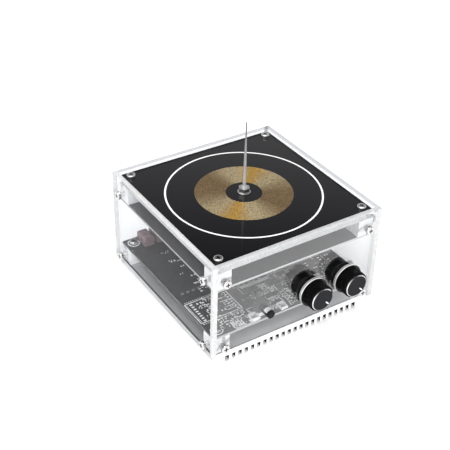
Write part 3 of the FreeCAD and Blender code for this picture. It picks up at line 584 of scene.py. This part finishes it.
def sink_finish():
    """Bright satin aluminium, with painted shade dark between the fins and dimming its top at the
    left and the back, and painted light on its front and back faces.
    """
    s = Shader("sink_finish")
    normal, place = s.split("True Normal"), s.split("Position")
    # painted shade between the fins
    groove_shade = s.times(s.under(place["Z"], SINK_FIN_SHADE_TOP),
                     s.under(s.absolute(normal["Y"]), FACING),
                     s.under(s.absolute(place["X"]), sink_high.x - SINK_RAIL))
    fronting = s.over(s.absolute(normal["Y"]), FACING)
    # painted shade on the top, towards the back and at the left
    deep = s.times(s.ramp(place["Y"], 0.0, SINK_DEEP_SHADE, *SINK_DEEP_Y),
                   s.ramp(place["X"], 0.0, 1.0, *[sink_low.x + reach for reach in SINK_DEEP_X]))
    side = s.ramp(place["X"], SINK_SIDE_SHADE, 1.0, sink_low.x, sink_low.x + SINK_SIDE_FADE)
    shade = s.times(side, s.inverse(deep))
    shade = s.math("MAXIMUM", shade, s.under(s.absolute(normal["Z"]), FACING))
    # painted light: front and back faces brighter, and not metallic
    shade = s.times(shade, s.ramp(fronting, 1.0, SINK_FRONT_PAINTED_LIGHT))
    along = s.add("Mapping", Vector=s.coords, Scale=(60.0, 60.0, 3000.0))
    brushed = s.add("TexNoise", Vector=along, Scale=1.0, Detail=3.0).outputs["Fac"]
    metal = s.mix_colour(brushed, rgb(0.78, 0.79, 0.80), rgb(0.90, 0.90, 0.91))
    colour = s.mix_colour(groove_shade, s.scale_colour(metal, shade), rgb(0.012, 0.012, 0.013))
    metallic = s.times(s.ramp(groove_shade, 0.25, 0.0), s.inverse(fronting))
    return s.done(s.principled(colour, 0.45, Metallic=metallic))


def paint(node, material):
    mesh = nodes[node].data
    mesh.materials.clear()
    mesh.materials.append(material)


def dress_nodes():
    for name, colour, roughness, metallic, settings, covered in PLAIN_FINISHES:
        material = solid(name, colour, roughness, metallic, **settings)
        for node in covered:
            paint(node, material)
    paint("coil_board", coil_board_finish())
    paint("secondary_winding", gold_track_finish())
    paint("primary_board", laminate("primary_mask", rgb(0.10, 0.10, 0.104), grey(0.52)))
    paint("main_board", laminate("main_mask", rgb(0.05, 0.05, 0.053), grey(0.45), 0.17))
    paint("module_board", laminate("module_mask", rgb(0.03, 0.05, 0.12), rgb(0.75, 0.75, 0.74)))
    paint("needle_electrode", needle_finish())
    paint("switch_housing", housing_finish())
    paint("heat_sink", sink_finish())
    plate = ringed("pot_plate", POT_PLATE_RADIUS, 0.7, 0.35, shift=POT_PLATE_SHIFT)
    paint("pot_bushings", plate)


def dress_case():
    quiet = [(x + QUIET_SHIFT[0], z + QUIET_SHIFT[1]) for x, z in knob_axes]
    paint("front_panel", clear_sheet("clear_front", "Y", 0.66, MILKY, FRONT_VEIL, quiet=quiet,
                                     hole=button_axis))
    paint("rear_panel", clear_sheet("clear_rear", "Y", lip=True))
    paint("left_panel", clear_sheet("clear_left", "X", 0.80, MILKY, LEFT_VEIL,
                                    rim=panel_front + LEFT_RIM))
    paint("right_panel", clear_sheet("clear_right", "X", 0.68, RIGHT_FROST, lip=True))
    paint("top_plate", clear_sheet("clear_plate", "Z", 0.70, PLATE_FROST))
    block = clear_block("clear_block")
    paint("top_corner_blocks", block)
    paint("bottom_corner_blocks", block)


# ---- pieces made of mesh ------------------------------------------------------------
def mesh_piece(name, points, faces, material):
    mesh = bpy.data.meshes.new(name)
    mesh.from_pydata(points, [], faces)
    mesh.materials.append(material)
    piece = bpy.data.objects.new(name, mesh)
    bpy.context.scene.collection.objects.link(piece)
    return piece


def board_piece(name, points, faces, material):
    """A piece of the main board, from points in millimetres."""
    points = [tuple(c * MM for c in point) for point in points]
    piece = mesh_piece(name, points, faces, material)
    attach(piece, "root")


def ring_faces(first, count, rings, closed=False, flipped=False):
    """Faces that join rings of count points each, and if closed the last ring to the first."""
    faces = []
    for i in range(rings if closed else rings - 1):
        here, there = first + i * count, first + (i + 1) % rings * count
        for k in range(count):
            following = (k + 1) % count
            a, b, c, d = here + k, there + k, there + following, here + following
            faces.append((a, d, c, b) if flipped else (a, b, c, d))
    return faces


def knob_sleeve(side, axis, material):
    """Grooved surface of a knob's body, just outside the plain bar of the solid."""
    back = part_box(side + "_knob_ring")[0].y
    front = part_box(side + "_knob_cap")[1].y
    stations = (
        # y, radius, depth of the grooves
        (back, SLEEVE_RADIUS, SLEEVE_GROOVE),
        (front + SLEEVE_CHAMFER, SLEEVE_RADIUS, SLEEVE_GROOVE),
        (front, SLEEVE_FACE_RADIUS, 0.0),
        (front, SLEEVE_BORE_RADIUS, 0.0),
        (back, SLEEVE_BORE_RADIUS, 0.0),
    )
    points, count = [], 2 * SLEEVE_GROOVES
    for y, radius, depth in stations:
        for k in range(count):
            angle = 2 * math.pi * k / count
            r = radius - (depth if k % 2 else 0.0)
            points.append((axis[0] + r * math.sin(angle), y, axis[1] + r * math.cos(angle)))
    faces = ring_faces(0, count, len(stations), closed=True)
    piece = mesh_piece(side + "_knob_sleeve", points, faces, material)
    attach(piece, side + "_knob")


def dress_knobs():
    knurl = solid("knob_black", rgb(0.003, 0.003, 0.0033), 0.3, gloss=0.04)
    silver = ringed("knob_silver", RING_BRIGHT_RADIUS, 1.0, 0.25, RING_GROOVE_SHADE)
    face = knob_cap_finish()
    for side, axis in zip(("left", "right"), knob_axes):
        paint(side + "_knob", knurl)
        paint(side + "_knob_ring", silver)
        paint(side + "_knob_cap", face)
        knob_sleeve(side, axis, knurl)


# ---- marks and small parts on the main board ----------------------------------------
def low_blocks(name, boxes, material, taper):
    """One mesh of many low blocks with sloping sides; boxes are x0, x1, y0, y1, z0, z1 in mm."""
    points, faces = [], []
    sides = ((0, 1, 5, 4), (1, 2, 6, 5), (2, 3, 7, 6), (3, 0, 4, 7), (4, 5, 6, 7), (3, 2, 1, 0))
    for x0, x1, y0, y1, z0, z1 in boxes:
        inset = min(taper, (x1 - x0) / 4, (y1 - y0) / 4)
        first = len(points)
        for z, e in ((z0, 0.0), (z1, inset)):
            points += [(x0 + e, y0 + e, z), (x1 - e, y0 + e, z),
                       (x1 - e, y1 - e, z), (x0 + e, y1 - e, z)]
        faces += [tuple(first + k for k in side) for side in sides]
    board_piece(name, points, faces, material)


def on_board(x0, x1, y0, y1, height, lift=0.0):
    return x0, x1, y0, y1, BOARD_TOP + lift, BOARD_TOP + lift + height


def mark_lines(kind, x0, x1, y0, y1, width):
    """A filled bar, the outline of a rectangle, or a row of dashes round it."""
    half = width / 2
    if kind == "bar":
        return [(x0, x1, y0, y1)]
    if kind == "frame":
        return ([(x0, x1, y - half, y + half) for y in (y0, y1)]
                + [(x - half, x + half, y0, y1) for x in (x0, x1)])
    lines = []
    for k in range(int((x1 - x0) / DASH_PITCH)):
        x = x0 + k * DASH_PITCH
        lines += [(x, x + DASH_LENGTH, y - half, y + half) for y in (y0, y1)]
    for k in range(int((y1 - y0) / DASH_PITCH)):
        y = y0 + k * DASH_PITCH
        lines += [(x - half, x + half, y, y + DASH_LENGTH) for x in (x0, x1)]
    return lines


def silk_boxes():
    lines = [line for mark in SILK_MARKS for line in mark_lines(*mark)]
    return [on_board(*line, SILK_HEIGHT) for line in lines]


def pad_boxes(dice):
    """Tinned pads: footprints of the larger packages, and pairs strewn between them."""
    pads = []
    for count, step_x, step_y, first_pads in PAD_ROWS:
        for k in range(count):
            dx, dy = k * step_x, k * step_y
            pads += [(x0 + dx, x1 + dx, y0 + dy, y1 + dy) for x0, x1, y0, y1 in first_pads]
    for x, y in LONE_PADS:
        pads.append((x, x + LONE_PAD_SIZE[0], y, y + LONE_PAD_SIZE[1]))
    for low_x, high_x, low_y, high_y, count in PAD_FIELDS:
        for _ in range(count):
            x, y = dice.uniform(low_x, high_x), dice.uniform(low_y, high_y)
            long, wide, apart = dice.choice(PAIR_SIZES)
            if dice.random() < 0.5:
                pads += [(x + e, x + e + wide, y, y + long) for e in (0.0, apart)]
            else:
                pads += [(x, x + long, y + e, y + e + wide) for e in (0.0, apart)]
    return [on_board(*pad, PAD_HEIGHT) for pad in pads]


def chip_boxes(dice):
    """Small packages and their pale ends."""
    length, width, height = CHIP_SIZE
    end, end_height = CHIP_END
    bodies, ends = [], []
    for low_x, high_x, low_y, high_y, count in PAD_FIELDS:
        for _ in range(count // 3):
            x, y = dice.uniform(low_x, high_x - 2.0), dice.uniform(low_y, high_y - 1.2)
            bodies.append(on_board(x, x + length, y, y + width, height, PAD_HEIGHT))
            for x0 in (x - end, x + length):
                ends.append(on_board(x0, x0 + end, y, y + width, end_height, PAD_HEIGHT))
    return bodies, ends


def screw_pads(material):
    """Tinned rings under the heads of the corner screws."""
    points, faces = [], []
    lows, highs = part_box("main_board_screws")
    rings = (
        # radius, height over the board
        (SCREW_PAD_RADIUS, 0.0),
        (SCREW_PAD_RADIUS - SCREW_PAD_BEVEL, PAD_HEIGHT),
        (SCREW_PAD_RADIUS - SCREW_PAD_WIDTH, PAD_HEIGHT),
    )
    for cx in (lows.x / MM + SCREW_HEAD_RADIUS, highs.x / MM - SCREW_HEAD_RADIUS):
        for cy in (lows.y / MM + SCREW_HEAD_RADIUS, highs.y / MM - SCREW_HEAD_RADIUS):
            faces += ring_faces(len(points), SCREW_PAD_SIDES, len(rings), flipped=True)
            for radius, lift in rings:
                for k in range(SCREW_PAD_SIDES):
                    angle = 2 * math.pi * k / SCREW_PAD_SIDES
                    points.append((cx + radius * math.cos(angle),
                                   cy + radius * math.sin(angle), BOARD_TOP + lift))
    board_piece("screw_pads", points, faces, material)


def connector_boxes():
    """Low white pin housings beside the button, open at the top, and their pins and bars."""
    walls = []
    for x0, x1, y0, y1, wall in CONNECTORS:
        walls += [(x0, x1, y0, y0 + wall), (x0, x1, y1 - wall, y1),
                  (x0, x0 + wall, y0 + wall, y1 - wall), (x1 - wall, x1, y0 + wall, y1 - wall)]
    pins = [on_board(x, x + PIN_WIDTH, y, y + PIN_WIDTH, CONNECTOR_HEIGHT)
            for x, y in PIN_PLACES]
    for k in range(BARS):
        x, y0, y1 = BAR_FIRST
        x += k * BAR_STEP
        pins.append(on_board(x, x + PIN_WIDTH, y0, y1 - k * BAR_SHORTER, BAR_HEIGHT))
    return [on_board(*wall, CONNECTOR_HEIGHT) for wall in walls], pins


def furnish_main_board():
    dice = random.Random(DICE_SEED)
    silk = solid("silk_white", grey(0.95), 0.6)
    low_blocks("silk_marks", silk_boxes(), silk, 0.01)
    tin = solid("solder_tin", rgb(0.95, 0.95, 0.96), 0.35, 0.1)
    low_blocks("solder_pads", pad_boxes(dice), tin, 0.03)
    screw_pads(tin)
    bodies, ends = chip_boxes(dice)
    low_blocks("chip_bodies", bodies, solid("chip_dark", grey(0.05), 0.4), 0.08)
    low_blocks("chip_ends", ends, tin, 0.05)
    housing, pins = connector_boxes()
    white = solid("connector_white", rgb(0.9, 0.9, 0.88), 0.4)
    low_blocks("connector_housing", housing, white, 0.1)
    low_blocks("connector_pins", pins, tin, 0.1)


# ---- camera, floor and light --------------------------------------------------------
def place_camera():
    sin_a, cos_a = math.sin(CAMERA_AZIMUTH), math.cos(CAMERA_AZIMUTH)
    sin_e, cos_e = math.sin(CAMERA_ELEVATION), math.cos(CAMERA_ELEVATION)
    sin_r, cos_r = math.sin(CAMERA_ROLL), math.cos(CAMERA_ROLL)
    back = Vector((sin_a * cos_e, -cos_a * cos_e, sin_e))
    level_right = Vector((cos_a, sin_a, 0.0))
    level_up = back.cross(level_right)
    right = level_right * cos_r + level_up * sin_r
    up = level_up * cos_r - level_right * sin_r
    data = bpy.data.cameras.new("camera")
    data.lens = CAMERA_LENS
    data.sensor_width = CAMERA_SENSOR
    data.clip_start, data.clip_end = CAMERA_CLIP
    camera = bpy.data.objects.new("camera", data)
    bpy.context.scene.collection.objects.link(camera)
    turn = Matrix((right, up, back)).transposed().to_4x4()
    camera.matrix_world = Matrix.Translation(CAMERA_PLACE) @ turn
    bpy.context.scene.camera = camera


def lay_floor():
    s = Shader("floor_white")
    seen = s.add("LightPath").outputs["Is Camera Ray"]
    tone = s.mix_colour(seen, grey(FLOOR_TONE), grey(FLOOR_SEEN_TONE))
    white = s.done(s.add("BsdfDiffuse", Color=tone))
    h = FLOOR_SIZE / 2
    corners = [(-h, -h, 0), (h, -h, 0), (h, h, 0), (-h, h, 0)]
    floor = mesh_piece("floor", corners, [(0, 1, 2, 3)], white)
    floor.location.z = -FLOOR_DROP


def light_world():
    """Even white light; mirror reflections see a dark sky with bright bands and a card."""
    world = bpy.data.worlds.new("studio")
    bpy.context.scene.world = world
    world.use_nodes = True
    w = Nodes(world.node_tree, "OutputWorld")
    direction = w.add("TexCoord").outputs["Generated"]
    upward = w.add("SeparateXYZ", Vector=direction).outputs["Z"]
    strength = SKY_MIDDLE
    for start, end, low, high in SKY_BANDS:
        strength = w.math("ADD", w.ramp(upward, low, high, start, end), strength)
    aim = w.add("VectorMath", {"operation": "DOT_PRODUCT"}, Vector=direction)
    aim.inputs[1].default_value = CARD_SIDE
    card = w.ramp(aim.outputs["Value"], 0.0, CARD_STRENGTH, *CARD_EDGE)
    strength = w.math("ADD", strength, card)
    ambient = w.add("Background", Color=grey(1.0), Strength=AMBIENT)
    sky = w.add("Background", Color=grey(1.0), Strength=strength)
    mirrored = w.add("LightPath").outputs["Is Glossy Ray"]
    w.done(w.mix_shader(mirrored, ambient, sky))


def add_light(name, place, size, power, mirrored):
    data = bpy.data.lights.new(name, "AREA")
    data.energy = power
    data.size = size
    light = bpy.data.objects.new(name, data)
    bpy.context.scene.collection.objects.link(light)
    light.location = place
    light.visible_glossy = mirrored
    light.rotation_mode = "QUATERNION"
    light.rotation_quaternion = (LIGHT_TARGET - light.location).to_track_quat("-Z", "Y")


place_camera()
dress_nodes()
dress_case()
dress_knobs()
furnish_main_board()
lay_floor()
light_world()
for light in LIGHTS:
    add_light(*light)
bpy.context.scene.view_settings.view_transform = "Standard"
